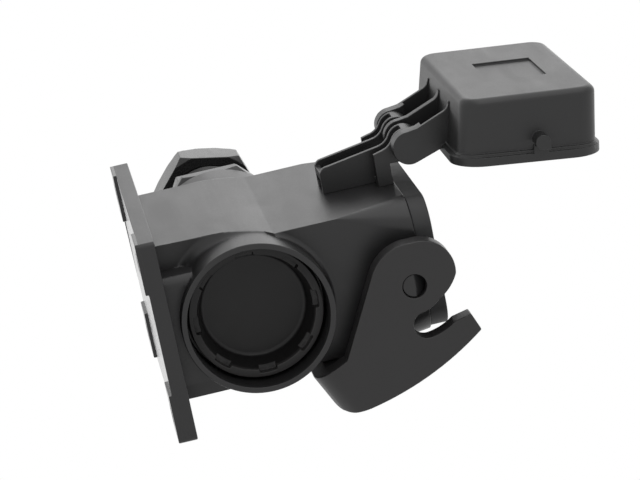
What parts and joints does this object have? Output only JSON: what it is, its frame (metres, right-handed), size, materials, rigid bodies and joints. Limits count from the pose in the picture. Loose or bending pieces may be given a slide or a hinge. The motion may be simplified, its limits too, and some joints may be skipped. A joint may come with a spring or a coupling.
{
  "type": "heavy duty connector housing",
  "caption": "Surface-mount housing for a rectangular industrial connector, with side cable entries, a domed cable gland, a hinged protection cover and a swinging locking lever.",
  "frame": {"origin": "centre of the four fixing holes, in the plane of the flange's feet", "axes": "+Z out of the panel towards the mouth, +X along the housing towards the cable gland, +Y towards the cover's hinge"},
  "size_m": [0.1305, 0.0701, 0.1202],
  "materials": {
    "moulding": "fine-grained matte black, glass-filled",
    "gland": "satin black",
    "seal": "matte black rubber",
    "brass": "turned"
  },
  "bodies": {
    "housing": {"housing_shell": "moulding", "insert_bushes": "brass", "mouth_seal": "seal", "blanking_plug": "moulding", "plug_seal_ring": "seal", "gland_adapter": "moulding", "adapter_seal_ring": "seal", "gland_body": "gland", "gland_body_seal": "seal", "gland_cage": "gland", "gland_seal_insert": "seal", "hinge_bracket": "moulding"},
    "lever": {"locking_lever": "moulding"},
    "cover": {"cover_cap": "moulding"},
    "nut": {"gland_nut": "gland"}
  },
  "joints": [
    {"name": "lever_pivot", "type": "hinge", "parent": "housing", "child": "lever", "pos_m": [0, -0.001, 0.0651], "axis": [-1, 0, 0], "range_deg": [0, 75]},
    {"name": "cover_hinge", "type": "hinge", "parent": "housing", "child": "cover", "pos_m": [0, 0.0272, 0.0735], "axis": [1, 0, 0], "range_deg": [-97.5, 82.5]},
    {"name": "gland_nut_turn", "type": "hinge", "parent": "housing", "child": "nut", "pos_m": [0.08, 0, 0.0259], "axis": [-1, 0, 0], "range_deg": [0, 1080]}
  ]
}
